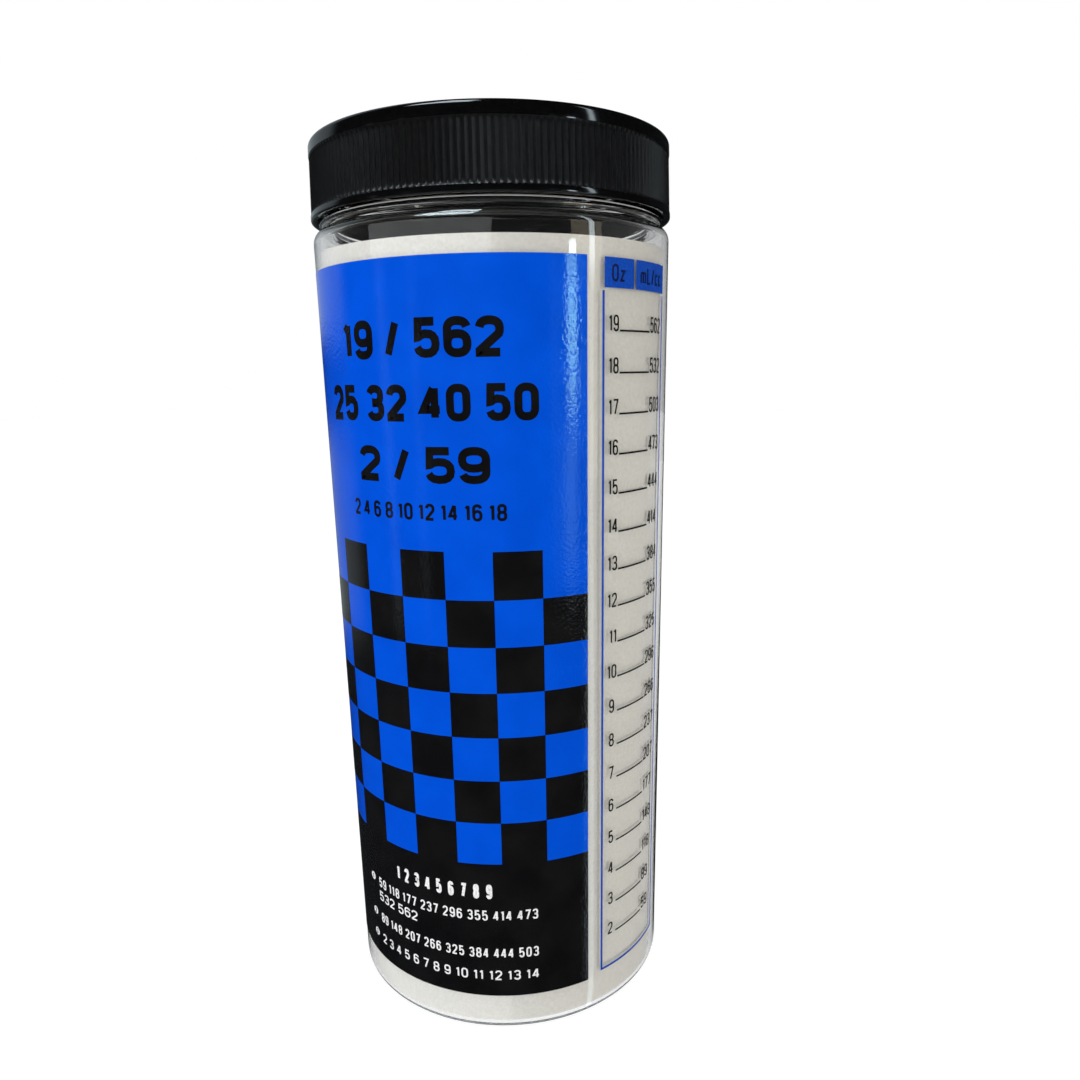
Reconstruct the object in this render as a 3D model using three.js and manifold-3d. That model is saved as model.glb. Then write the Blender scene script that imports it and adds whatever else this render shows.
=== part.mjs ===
// A wide-mouthed clear bottle for mixing fuel: a straight blow-moulded wall with a black screw cap,
// a glossy label with a checkerboard, a printed measuring scale and a white sheet rolled up inside.
// Millimetres, +Z up. The origin is the middle of the resting ring, and the label faces -Y.
import * as THREE from "three";
import { mergeVertices } from "three/addons/utils/BufferGeometryUtils.js";
import Module from "manifold-3d";

const wasm = await Module();
wasm.setup();

// Bottle body
const BOTTLE_DIAMETER = 73;
const WALL = 1.1;
const HEADSPACE = 20.67;
const SHOULDER_RADIUS = 2.6;
const FLOOR = 0.9;
const HEEL_RADIUS = 2;
const INNER_HEEL_RADIUS = 1;
const RESTING_RING_WIDTH = 5;
const PUSH_UP_HEIGHT = 6;

// Neck and its thread
const NECK_STEP = 2.8;
const NECK_WALL = 1.5;
const NECK_HEIGHT = 13.1;
const LIP_CHAMFER = 0.4;
const BEAD_REACH = 1.5;
const BEAD_START = 0.5;
const BEAD_WIDTH = 1;
const BEAD_SLOPE = 0.2;
const THREAD_DEPTH = 1.05;
const THREAD_PITCH = 25.4 / 6;
const NECK_THREAD_TURNS = 1.25;
const NECK_THREAD_DROP = 2;
const THREAD_ROOT_WIDTH = 1.7;
const THREAD_CREST_WIDTH = 0.8;
const THREAD_BITE = 0.4;
const THREAD_FADE_TURNS = 0.06;

// Cap
const CAP_WALL = 1.65;
const CAP_HEIGHT = 14.2;
const CAP_GAP = 1.6;
const CAP_TOP = 1.6;
const CAP_EDGE_RADIUS = 1.4;
const CAP_RIM_RADIUS = 0.4;
const TOP_BAND = 2.5;
const LOWER_BAND = 1.2;
const RIB_COUNT = 180;
const RIB_DEPTH = 0.4;
const RIB_SINK = 0.1;
const RIB_OVERRUN = 0.3;
const CAP_THREAD_CLEARANCE = 0.3;
const CAP_THREAD_TURNS = 1.15;
const CAP_THREAD_DELAY_TURNS = 0.3;
const LINER_THICKNESS = 0.9;
const LINER_CLEARANCE = 0.1;
const LINER_SIDE_CLEARANCE = 0.4;

// Sheet rolled up inside the bottle
const SHEET_TOP_GAP = 4.7;
const SHEET_THICKNESS = 0.25;
const SHEET_WALL_GAP = 0.1;
const SHEET_LAP = 12;
const SHEET_LAP_GAP = 0.1;
const SHEET_INSET_SHARE = 0.15;

// Label, with widths measured round the wall
const LABEL_WIDTH = 65.6;
const LABEL_TOP_GAP = 8;
const LABEL_BOTTOM = 8.8;
const LABEL_THICKNESS = 0.1;
const CHECKS_ACROSS = 7;
const CHECKS_DOWN = 7;
const BLACK_FIELD_HEIGHT = 31.9;
const CHECK_CORNER_JOIN = 0.08;

// Measuring scale printed on the wall, with widths measured round the wall
const OUNCE = 29573.5;
const FIRST_MARK = 2;
const LAST_MARK = 19;
const SCALE_GAP = 3.4;
const SCALE_WIDTH = 21.2;
const SCALE_BOTTOM = 9.6;
const SCALE_TOP_GAP = 8.1;
const SCALE_LINE = 0.5;
const HEAD_HEIGHT = 5.2;
const HEAD_SPLIT = 8.3;
const HEAD_GAP = 0.75;
const HEAD_FRAME_GAP = 0.5;
const TICK_START = 4.4;
const TICK_LENGTH = 9.8;
const TICK_LINE = 0.35;

// Thin layers
const LAYER_CLEARANCE = 0.02;
const INK_THICKNESS = 0.05;

// Fineness of round forms
const ROUND_STEPS = 72;
const ARC_STEPS = 2;
const CHECK_STEPS = 3;

const bottleRadius = BOTTLE_DIAMETER / 2;
const innerRadius = bottleRadius - WALL;
const boreArea = Math.PI * innerRadius ** 2;
const ringInner = bottleRadius - HEEL_RADIUS - RESTING_RING_WIDTH;

// The height at which a straight wall with a flat floor would hold the same as the pushed-up base does.
function scaleZero() {
  const pushedOut = (Math.PI * PUSH_UP_HEIGHT * (3 * ringInner ** 2 + PUSH_UP_HEIGHT ** 2)) / 6;
  return FLOOR + pushedOut / boreArea;
}

function markHeight(ounces) {
  return scaleZero() + (ounces * OUNCE) / boreArea;
}

const shoulderHeight = markHeight(LAST_MARK) + HEADSPACE;
const neckRadius = bottleRadius - NECK_STEP;
const neckBore = neckRadius - NECK_WALL;
const threadRadius = neckRadius + THREAD_DEPTH;
const lipHeight = shoulderHeight + NECK_HEIGHT;
const neckThreadStart = lipHeight - NECK_THREAD_DROP;
const capBottom = shoulderHeight + CAP_GAP;
const capTop = capBottom + CAP_HEIGHT;
const capCeiling = capTop - CAP_TOP;
const capBore = threadRadius + CAP_THREAD_CLEARANCE;
const capRadius = capBore + CAP_WALL;
const ribBottom = capBottom + LOWER_BAND;
const ribTop = capTop - TOP_BAND;
const step = (2 * Math.PI) / ROUND_STEPS;

// The part's own angle: 0 at the middle of the label, growing towards +X.
function onWall(radius, angle, height) {
  return new THREE.Vector3(radius * Math.sin(angle), -radius * Math.cos(angle), height);
}

// An angle for a distance measured round the bottle's wall.
function wallAngle(distance) {
  return distance / bottleRadius;
}

// A closed solid from rings of corners, each joined to the next, with flat ends.
function sweep(rings) {
  const count = rings[0].length;
  const index = [];
  for (let i = 0; i < rings.length - 1; i++) {
    for (let j = 0; j < count; j++) {
      const a = i * count + j;
      const b = i * count + ((j + 1) % count);
      index.push(a, b, b + count, a, b + count, a + count);
    }
  }
  const last = (rings.length - 1) * count;
  for (let j = 1; j < count - 1; j++) {
    index.push(0, j + 1, j, last, last + j, last + j + 1);
  }
  return new THREE.BufferGeometry().setFromPoints(rings.flat()).setIndex(index);
}

// A solid of revolution about Z from a path of radius and height.
function revolve(path) {
  return new THREE.LatheGeometry(path.getPoints(ARC_STEPS), ROUND_STEPS).rotateX(Math.PI / 2);
}

function toSolid(geometry) {
  const bare = geometry.clone();
  bare.deleteAttribute("normal");
  bare.deleteAttribute("uv");
  const merged = mergeVertices(bare, 1e-4);
  const corners = merged.index.array;
  const kept = [];
  for (let i = 0; i < corners.length; i += 3) {
    const [a, b, c] = corners.subarray(i, i + 3);
    if (a !== b && b !== c && c !== a) kept.push(a, b, c);
  }
  const triVerts = new Uint32Array(kept);
  return new wasm.Manifold(
    new wasm.Mesh({ numProp: 3, vertProperties: merged.attributes.position.array, triVerts }),
  );
}

function toGeometry(solid) {
  const mesh = solid.getMesh();
  return new THREE.BufferGeometry()
    .setAttribute("position", new THREE.BufferAttribute(mesh.vertProperties, 3))
    .setIndex(new THREE.BufferAttribute(mesh.triVerts, 1));
}

// A screw thread that runs down from its start. It fades into the wall at both ends.
function thread({ wallRadius, crestRadius, startTurn, turns, topHeight }) {
  const bite = Math.sign(wallRadius - crestRadius) * THREAD_BITE;
  const count = Math.round(turns * ROUND_STEPS);
  const rings = [];
  for (let i = 0; i <= count; i++) {
    const turn = startTurn + (turns * i) / count;
    const fromEnd = Math.min(i, count - i) / count;
    const fade = Math.min(1, (fromEnd * turns) / THREAD_FADE_TURNS);
    const crest = wallRadius + (crestRadius - wallRadius) * fade;
    const height = topHeight - THREAD_PITCH * turn;
    const angle = -2 * Math.PI * turn;
    rings.push([
      onWall(wallRadius + bite, angle, height + THREAD_ROOT_WIDTH / 2),
      onWall(crest, angle, height + THREAD_CREST_WIDTH / 2),
      onWall(crest, angle, height - THREAD_CREST_WIDTH / 2),
      onWall(wallRadius + bite, angle, height - THREAD_ROOT_WIDTH / 2),
    ]);
  }
  if (crestRadius > wallRadius) rings.reverse();
  return toSolid(sweep(rings));
}

function makeBottle() {
  const dome = (ringInner ** 2 + PUSH_UP_HEIGHT ** 2) / (2 * PUSH_UP_HEIGHT);
  const domeAngle = Math.asin(ringInner / dome);
  const shoulderArc = bottleRadius - SHOULDER_RADIUS;
  const innerArc = Math.max(SHOULDER_RADIUS - WALL, WALL / 2);
  const beadFoot = shoulderHeight + BEAD_START;
  const half = Math.PI / 2;

  const outline = new THREE.Path();
  outline.moveTo(0, PUSH_UP_HEIGHT);
  outline.absarc(0, PUSH_UP_HEIGHT - dome, dome, half, half - domeAngle, true);
  outline.absarc(bottleRadius - HEEL_RADIUS, HEEL_RADIUS, HEEL_RADIUS, -half, 0, false);
  outline.absarc(shoulderArc, shoulderHeight - SHOULDER_RADIUS, SHOULDER_RADIUS, 0, half, false);
  outline.lineTo(neckRadius, shoulderHeight);
  outline.lineTo(neckRadius, beadFoot);
  outline.lineTo(neckRadius + BEAD_REACH, beadFoot + BEAD_SLOPE);
  outline.lineTo(neckRadius + BEAD_REACH, beadFoot + BEAD_WIDTH - BEAD_SLOPE);
  outline.lineTo(neckRadius, beadFoot + BEAD_WIDTH);
  outline.lineTo(neckRadius, lipHeight - LIP_CHAMFER);
  outline.lineTo(neckRadius - LIP_CHAMFER, lipHeight);
  outline.lineTo(neckBore + LIP_CHAMFER, lipHeight);
  outline.lineTo(neckBore, lipHeight - LIP_CHAMFER);
  outline.lineTo(neckBore, shoulderHeight - WALL);
  outline.absarc(innerRadius - innerArc, shoulderHeight - WALL - innerArc, innerArc, half, 0, true);
  outline.absarc(
    innerRadius - INNER_HEEL_RADIUS,
    FLOOR + INNER_HEEL_RADIUS,
    INNER_HEEL_RADIUS,
    0,
    -half,
    true,
  );
  outline.absarc(0, PUSH_UP_HEIGHT - dome + FLOOR, dome, half - domeAngle, half, false);

  const neckThread = thread({
    wallRadius: neckRadius,
    crestRadius: threadRadius,
    startTurn: 0,
    turns: NECK_THREAD_TURNS,
    topHeight: neckThreadStart,
  });
  return toGeometry(toSolid(revolve(outline)).add(neckThread));
}

// The outline of the grip ribs, seen from above.
function ribOutline() {
  const crest = capRadius - RIB_SINK;
  const points = [];
  for (let i = 0; i < 2 * RIB_COUNT; i++) {
    const angle = (Math.PI * i) / RIB_COUNT;
    const radius = i % 2 ? crest - RIB_DEPTH : crest;
    points.push(new THREE.Vector2(radius * Math.sin(angle), -radius * Math.cos(angle)));
  }
  return new THREE.Shape(points);
}

function makeCap() {
  const half = Math.PI / 2;
  const ribFloor = capRadius - RIB_SINK - RIB_DEPTH - RIB_OVERRUN;
  const outline = new THREE.Path();
  outline.moveTo(0, capBottom);
  outline.lineTo(capRadius - CAP_RIM_RADIUS, capBottom);
  outline.absarc(capRadius - CAP_RIM_RADIUS, capBottom + CAP_RIM_RADIUS, CAP_RIM_RADIUS, -half, 0);
  outline.lineTo(capRadius, ribBottom);
  outline.lineTo(ribFloor, ribBottom);
  outline.lineTo(ribFloor, ribTop);
  outline.lineTo(capRadius, ribTop);
  outline.absarc(capRadius - CAP_EDGE_RADIUS, capTop - CAP_EDGE_RADIUS, CAP_EDGE_RADIUS, 0, half);
  outline.lineTo(0, capTop);

  const ribs = new THREE.ExtrudeGeometry(ribOutline(), {
    depth: ribTop - ribBottom + 2 * RIB_OVERRUN,
    bevelEnabled: false,
  }).translate(0, 0, ribBottom - RIB_OVERRUN);

  const bore = new THREE.Path();
  bore.moveTo(0, capBottom - CAP_RIM_RADIUS);
  bore.lineTo(capBore + 2 * CAP_RIM_RADIUS, capBottom - CAP_RIM_RADIUS);
  bore.lineTo(capBore, capBottom + CAP_RIM_RADIUS);
  bore.lineTo(capBore, capCeiling);
  bore.lineTo(0, capCeiling);

  const capThread = thread({
    wallRadius: capBore,
    crestRadius: neckRadius + CAP_THREAD_CLEARANCE,
    startTurn: CAP_THREAD_DELAY_TURNS,
    turns: CAP_THREAD_TURNS,
    topHeight: neckThreadStart - THREAD_PITCH / 2,
  });
  const shell = toSolid(revolve(outline)).add(toSolid(ribs)).subtract(toSolid(revolve(bore)));
  return toGeometry(shell.add(capThread));
}

function makeCapLiner() {
  const radius = capBore - LINER_SIDE_CLEARANCE;
  const bottom = lipHeight + LINER_CLEARANCE;
  const outline = new THREE.Path();
  outline.moveTo(0, bottom);
  outline.lineTo(radius, bottom);
  outline.lineTo(radius, bottom + LINER_THICKNESS);
  outline.lineTo(0, bottom + LINER_THICKNESS);
  return revolve(outline);
}

// The sheet stands where the wall's foot begins to curve in, and springs out against the wall.
// Its end bends in and slides behind its start, at the back.
function makePaperInsert() {
  const outer = innerRadius - SHEET_WALL_GAP;
  const bottom = FLOOR + INNER_HEEL_RADIUS;
  const top = shoulderHeight - SHEET_TOP_GAP;
  const sweepAngle = 2 * Math.PI + SHEET_LAP / outer;
  const count = Math.round(sweepAngle / step);
  const rings = [];
  for (let i = 0; i <= count; i++) {
    const along = (sweepAngle * i) / count;
    const bend = THREE.MathUtils.smoothstep(along / (2 * Math.PI), 1 - SHEET_INSET_SHARE, 1);
    const radius = outer - (SHEET_THICKNESS + SHEET_LAP_GAP) * bend;
    const angle = Math.PI + along;
    rings.push([
      onWall(radius, angle, bottom),
      onWall(radius - SHEET_THICKNESS, angle, bottom),
      onWall(radius - SHEET_THICKNESS, angle, top),
      onWall(radius, angle, top),
    ]);
  }
  return sweep(rings);
}

// The places between two distances round the wall at which a thin layer bends.
function bends(from, to) {
  const count = Math.max(1, Math.ceil((wallAngle(to) - wallAngle(from)) / step - 1e-6));
  return Array.from({ length: count + 1 }, (_, i) => from + ((to - from) * i) / count);
}

// A thin layer that follows the wall. It covers the rectangles given as left, right, low and high.
function layer(rectangles, across, radius, thickness) {
  const columns = [...new Set(across)].sort((a, b) => a - b);
  const rows = [...new Set(rectangles.flatMap((r) => [r[2], r[3]]))].sort((a, b) => a - b);
  const widest = Math.max(...columns.slice(1).map((x, i) => x - columns[i]));
  const inner = radius / Math.cos(wallAngle(widest) / 2);
  const covered = (i, j) => {
    if (i < 0 || j < 0 || i >= columns.length - 1 || j >= rows.length - 1) return false;
    const x = (columns[i] + columns[i + 1]) / 2;
    const z = (rows[j] + rows[j + 1]) / 2;
    return rectangles.some((r) => x > r[0] && x < r[1] && z > r[2] && z < r[3]);
  };
  const corner = (i, j, r) => onWall(r, wallAngle(columns[i]), rows[j]);
  const points = [];
  const face = (a, b, c, d) => points.push(a, b, c, a, c, d);
  for (let i = 0; i < columns.length - 1; i++) {
    for (let j = 0; j < rows.length - 1; j++) {
      if (!covered(i, j)) continue;
      const [a, b, c, d] = [corner(i, j, inner), corner(i + 1, j, inner),
        corner(i + 1, j + 1, inner), corner(i, j + 1, inner)];
      const outer = inner + thickness;
      const [e, f, g, h] = [corner(i, j, outer), corner(i + 1, j, outer),
        corner(i + 1, j + 1, outer), corner(i, j + 1, outer)];
      face(e, f, g, h);
      face(a, d, c, b);
      if (!covered(i, j - 1)) face(a, b, f, e);
      if (!covered(i, j + 1)) face(d, h, g, c);
      if (!covered(i - 1, j)) face(a, e, h, d);
      if (!covered(i + 1, j)) face(b, c, g, f);
    }
  }
  return mergeVertices(new THREE.BufferGeometry().setFromPoints(points), 1e-5);
}

const labelLeft = -LABEL_WIDTH / 2;
const labelRight = LABEL_WIDTH / 2;
const labelTop = shoulderHeight - LABEL_TOP_GAP;
const check = LABEL_WIDTH / CHECKS_ACROSS;
const filmRadius = bottleRadius + LAYER_CLEARANCE;

function makeFrontLabel() {
  const across = bends(labelLeft, labelRight);
  return layer([[labelLeft, labelRight, LABEL_BOTTOM, labelTop]], across, filmRadius, LABEL_THICKNESS);
}

// Black squares alternate with the blue of the label. Each is a little wider, so that corners join.
function makeLabelBlackPrint() {
  const join = CHECK_CORNER_JOIN;
  const fieldTop = LABEL_BOTTOM + BLACK_FIELD_HEIGHT;
  const rectangles = [[labelLeft, labelRight, LABEL_BOTTOM, fieldTop]];
  for (let row = 0; row < CHECKS_DOWN; row++) {
    for (let column = 0; column < CHECKS_ACROSS; column++) {
      if ((row + column) % 2 === 0) continue;
      const left = labelLeft + column * check;
      const low = fieldTop + row * check;
      const right = left + check + join;
      rectangles.push([Math.max(left - join, labelLeft), Math.min(right, labelRight), low, low + check]);
    }
  }
  const across = [];
  for (let column = 0; column < CHECKS_ACROSS; column++) {
    const left = labelLeft + column * check;
    for (let i = 0; i < CHECK_STEPS; i++) across.push(left + (check * i) / CHECK_STEPS);
    if (column > 0) across.push(left - join, left + join);
  }
  across.push(labelRight);
  const labelFace = bottleRadius / Math.cos(step / 2) + LABEL_THICKNESS + 2 * LAYER_CLEARANCE;
  return layer(rectangles, across, labelFace, INK_THICKNESS);
}

const scaleLeft = labelRight + SCALE_GAP;
const scaleRight = scaleLeft + SCALE_WIDTH;
const scaleTop = shoulderHeight - SCALE_TOP_GAP;
const headBottom = scaleTop - HEAD_HEIGHT;
const frameTop = headBottom - HEAD_FRAME_GAP;

function printedField(left, right, low, high) {
  return layer([[left, right, low, high]], bends(left, right), filmRadius, INK_THICKNESS);
}

function makeScaleFrame() {
  const insideLeft = scaleLeft + SCALE_LINE;
  const insideRight = scaleRight - SCALE_LINE;
  const lines = [
    [scaleLeft, insideLeft, SCALE_BOTTOM, frameTop],
    [scaleLeft, scaleRight, SCALE_BOTTOM, SCALE_BOTTOM + SCALE_LINE],
    [insideRight, scaleRight, SCALE_BOTTOM, frameTop],
  ];
  const across = [scaleLeft, ...bends(insideLeft, insideRight), scaleRight];
  return layer(lines, across, filmRadius, INK_THICKNESS);
}

function makeScaleHeadOz() {
  return printedField(scaleLeft + SCALE_LINE, scaleLeft + HEAD_SPLIT, headBottom, scaleTop);
}

function makeScaleHeadMl() {
  return printedField(scaleLeft + HEAD_SPLIT + HEAD_GAP, scaleRight, headBottom, scaleTop);
}

function makeTick(ounces) {
  const left = scaleLeft + TICK_START;
  const low = markHeight(ounces) - TICK_LINE / 2;
  return printedField(left, left + TICK_LENGTH, low, low + TICK_LINE);
}

function plain(color, roughness) {
  return new THREE.MeshStandardMaterial({ color, roughness, metalness: 0 });
}

const clearPlastic = plain(0xf1f5f6, 0.05);
clearPlastic.transparent = true;
clearPlastic.opacity = 0.3;
const blackPlastic = plain(0x111111, 0.3);
const darkFoam = plain(0x2a2a2c, 0.8);
const whitePaper = plain(0xe4e2de, 0.85);
const blueFilm = plain(0x0052d9, 0.2);
const blackInk = plain(0x111111, 0.25);
const blueInk = plain(0x0546aa, 0.35);

const fuelBottle = new THREE.Group();

function addPiece(name, geometry, material) {
  const mesh = new THREE.Mesh(geometry, material);
  mesh.name = name;
  fuelBottle.add(mesh);
}

addPiece("bottle", makeBottle(), clearPlastic);
addPiece("cap", makeCap(), blackPlastic);
addPiece("cap_liner", makeCapLiner(), darkFoam);
addPiece("paper_insert", makePaperInsert(), whitePaper);
addPiece("front_label", makeFrontLabel(), blueFilm);
addPiece("label_black_print", makeLabelBlackPrint(), blackInk);
addPiece("scale_frame", makeScaleFrame(), blueInk);
addPiece("scale_head_oz", makeScaleHeadOz(), blueInk);
addPiece("scale_head_ml", makeScaleHeadMl(), blueInk);
for (let ounces = FIRST_MARK; ounces <= LAST_MARK; ounces++) {
  addPiece("tick_" + String(ounces).padStart(2, "0"), makeTick(ounces), blackInk);
}

export default fuelBottle;
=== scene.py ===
"""Looks of a fuel mixing bottle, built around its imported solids. Metres, +Z up; the label faces -Y."""

import math

import bpy
import numpy as np
from mathutils import Matrix, Vector


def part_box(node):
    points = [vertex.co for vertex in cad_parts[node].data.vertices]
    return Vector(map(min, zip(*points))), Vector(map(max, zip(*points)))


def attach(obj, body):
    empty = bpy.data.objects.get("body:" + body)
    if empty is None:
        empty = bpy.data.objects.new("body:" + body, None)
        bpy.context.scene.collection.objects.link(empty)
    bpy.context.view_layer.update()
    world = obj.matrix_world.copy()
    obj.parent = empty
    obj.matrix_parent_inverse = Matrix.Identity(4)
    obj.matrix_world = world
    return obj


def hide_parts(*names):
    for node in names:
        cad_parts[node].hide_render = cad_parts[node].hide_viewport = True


MM = 0.001

# Bottle, in millimetres, with the same values as the solids
WALL = 1.1
SHOULDER_RADIUS = 2.6
FLOOR = 0.9
HEEL_RADIUS = 2.0
INNER_HEEL_RADIUS = 1.0
RESTING_RING_WIDTH = 5.0
PUSH_UP_HEIGHT = 6.0
WALL_END = 6.0
NECK_HEIGHT = 13.1
NECK_RADIUS = 33.7
NECK_WALL = 1.5
LIP_ROUND = 0.4
BORE_BEVEL = 0.4
BEAD_REACH = 1.5
BEAD_START = 0.5
BEAD_WIDTH = 1.0
THREAD_DEPTH = 1.05
THREAD_PITCH = 25.4 / 6
THREAD_ROOT_WIDTH = 1.7
THREAD_CREST_WIDTH = 0.8
THREAD_FADE_TURNS = 0.06
NECK_THREAD_TURNS = 1.25
NECK_THREAD_DROP = 2.0

# Cap
CAP_TOP = 1.6
CAP_EDGE_RADIUS = 0.8
CAP_RIM_RADIUS = 0.4
CAP_DRAFT = 0.5
TOP_BAND = 2.5
LOWER_BAND = 1.2
RIB_COUNT = 180
RIB_DEPTH = 0.4
RIB_SINK = 0.1
RIB_END = 0.5
RIB_END_ROWS = (0.15, 0.35, 0.6, 1.0)
RIB_ROWS_INSET = 1.0
RIB_FLATNESS = 0.8
BAND_EDGE = ((0, 0.15), (0.02, 0.04))
CAP_TOP_RING = 20.0
CAP_BORE_BEVEL = 0.5
CAP_THREAD_START = 0.6
CAP_THREAD_REACH = 8.0
CAP_THREAD_CLEARANCE = 0.3
CAP_THREAD_TURNS = 1.15
CAP_THREAD_DELAY_TURNS = 0.3

# Sheet
SHEET_THICKNESS = 0.25
SHEET_LAP = 12.0
SHEET_LAP_GAP = 0.1
SHEET_INSET_SHARE = 0.15

# Label and scale
CHECKS_ACROSS = 7
CHECKS_DOWN = 7
CHECK_JOIN = 0.0008
BLACK_FIELD_HEIGHT = 31.9
FILM_GAP = 0.01
FILM_THICKNESS = 0.1
LABEL_INK = 0.02
INK_THICKNESS = 0.04
WHITE_INK_GAP = 0.03
SCALE_LINE = 0.5
FIRST_MARK = 2
LAST_MARK = 19
MILLILITRES_PER_OUNCE = 29.5735

# Strokes of the print
BOWL_SQUARE = 0.82
LONGEST_FLAT = 1.0
MITRE_LIMIT = 0.45
SIGN_SPACING = 0.16
SIGN_WIDTHS = {"1": 0.62, " ": 0.3, "/": 0.65, "z": 0.8, "m": 1.15, "L": 0.8, "c": 0.8}
SIGN_HEIGHTS = {"z": 0.68, "c": 0.72, "m": 0.72}

# Signs of straight strokes, as runs of points in shares of the sign's width and height
STRAIGHT_SIGNS = {
    "1": [[(0.75, 0), (0.75, 1)], [(0.05, 0.8), (0.72, 0.97)]],
    "4": [[(0.74, 0), (0.74, 1)], [(0.66, 1), (0, 0.27), (1.05, 0.27)]],
    "7": [[(0, 1), (1, 1), (0.34, 0)]],
    "/": [[(0, 0), (1, 1)]],
    "z": [[(0, 1), (1, 1), (0, 0), (1, 0)]],
    "L": [[(0, 1), (0, 0), (1, 0)]],
    " ": [],
}

# Numbers on the label: text, then width, base, height and weight of stroke
TITLE_SPACING = 0.1
TITLE_ROWS = [
    ("19 / 562", 34.4, 141.3, 6.9, 1.5),
    ("25 32 40 50", 46.4, 130.2, 6.6, 1.45),
    ("2 / 59", 28.2, 119.0, 6.7, 1.5),
    ("2 4 6 8 10 12 14 16 18", 33.9, 112.1, 3.2, 0.55),
]
STEP_ROWS = [
    ("1 2 3 4 5 6 7 8 9", -11.1, 22.9, 32.6, 3.4, 0.6),
    ("59 118 177 237 296 355 414 473", -18.4, 39.7, 27.4, 2.4, 0.35),
    ("532 562", -18.6, 12.8, 23.9, 2.4, 0.35),
    ("89 148 207 266 325 384 444 503", -18.4, 39.7, 18.3, 2.4, 0.35),
    ("2 3 4 5 6 7 8 9 10 11 12 13 14", -18.4, 39.7, 12.8, 2.4, 0.35),
]
STEP_DISC_PLACE = -21.2
STEP_DISC_RADIUS = 0.95
STEP_DISCS = (28.8, 19.8, 14.2)
STEP_COUNT_HEIGHT = 1.3
STEP_COUNT_WIDTH = 0.5
STEP_COUNT_WEIGHT = 0.24

# Numbers of the scale
SCALE_SIGN_HEIGHT = 2.95
SCALE_SIGN_WEIGHT = 0.36
SCALE_SIGN_GAP = 0.28
OUNCE_SIGN_WIDTH = 1.4
OUNCE_GAP = 0.3
SINGLE_SIGN_INSET = 0.6
MILLILITRE_SIGN_WIDTH = 1.5
MILLILITRE_GAP = 0.45
UNIT_SIGN_HEIGHT = 3.0
UNIT_SIGN_WEIGHT = 0.42
UNIT_SPACING = 0.14
UNIT_SIGNS = [("scale_head_oz", "Oz", 1.75, 3.4), ("scale_head_ml", "mL/cc", 1.4, 9.0)]

# Materials; colours are linear values, and a bump is its depth in metres and its strength
WHITE = (1, 1, 1, 1)
CLEAR_COLOUR = (0.975, 0.985, 0.99, 1)
CLEAR_SHADOW = (0.96, 0.965, 0.97, 1)
CLEAR_BENDING = 1.5
CLEAR_ROUGHNESS = 0.02
CLEAR_WAVES = 55.0
CLEAR_WAVES_STRETCH = (1, 1, 0.15)
CLEAR_BUMP = (0.0006, 0.25)
CAP_GRAIN = 900.0
CAP_GRAIN_DEPTH = 0.00003
CAP_GRAIN_LIGHTER = 1.8
CAP_SHEEN = 160.0
LABEL_TONES = 120.0
LABEL_PEEL = 1700.0
LABEL_BUMP = (0.00005, 0.7)
LABEL_ROUGHNESS = (0.05, 0.1)
LABEL_SHINE = 0.4
INK_GRAIN = 2500.0
INK_SHINE = 0.12
SHEET_SHINE = 0.2

# Black plastics: lowest and highest roughness, strength of the grain, colour and shine
CAP_GLOSS_LOOK = (0.06, 0.12, 0.1, (0.0015, 0.0015, 0.0017), 0.4)
# The ribs' colour is twice the bands' black of the same plastic: a painted sheen that lightens the ribs.
CAP_SATIN_LOOK = (0.34, 0.48, 0.6, (0.003, 0.003, 0.0032), 0.25)

# Prints on the label: dark tone, light tone and the tint of the shine
LABEL_BLUE_LOOK = ((0.0, 0.072, 0.62), (0.0, 0.081, 0.68), (0.5, 1.0, 0.7, 1))
LABEL_BLACK_LOOK = ((0.004, 0.004, 0.0045), (0.007, 0.007, 0.0075), WHITE)

# Inks: colour and roughness
INK_BLACK_LOOK = ((0.006, 0.006, 0.006), 0.4)
INK_BLUE_LOOK = ((0.0, 0.05, 0.36), 0.35)
INK_NAVY_LOOK = ((0.004, 0.008, 0.05), 0.35)
INK_WHITE_LOOK = ((0.72, 0.72, 0.73), 0.4)

# Paper and foam: fineness and detail of the grain, its tones, roughness and bump
PAPER_TONES = [(0.3, (0.84, 0.815, 0.755)), (0.7, (0.95, 0.925, 0.865))]
PAPER_LOOK = (1600.0, 6.0, PAPER_TONES, 0.85, (0.00008, 0.5))
# The foam is dark, and its near-black tones are also painted shade for the inside of the cap.
FOAM_TONES = [(0.35, (0.003, 0.003, 0.0035)), (0.7, (0.009, 0.009, 0.01))]
FOAM_LOOK = (2200.0, 2.0, FOAM_TONES, 0.8, (0.0001, 0.4))

# Camera: where it stood round the bottle and how it was aimed
CAMERA_AZIMUTH = 24.61
CAMERA_DISTANCE = 193.7
CAMERA_HEIGHT = 138.2
CAMERA_YAW = 2.49
CAMERA_PITCH = 15.06
CAMERA_ROLL = 0.96
CAMERA_FOCAL_PIXELS = 857.9
CAMERA_CENTRE = (538.9, 605.0)
FRAME_PIXELS = 1080
SENSOR_MM = 36.0
CAMERA_NEAR_LIMIT = 0.01

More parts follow.
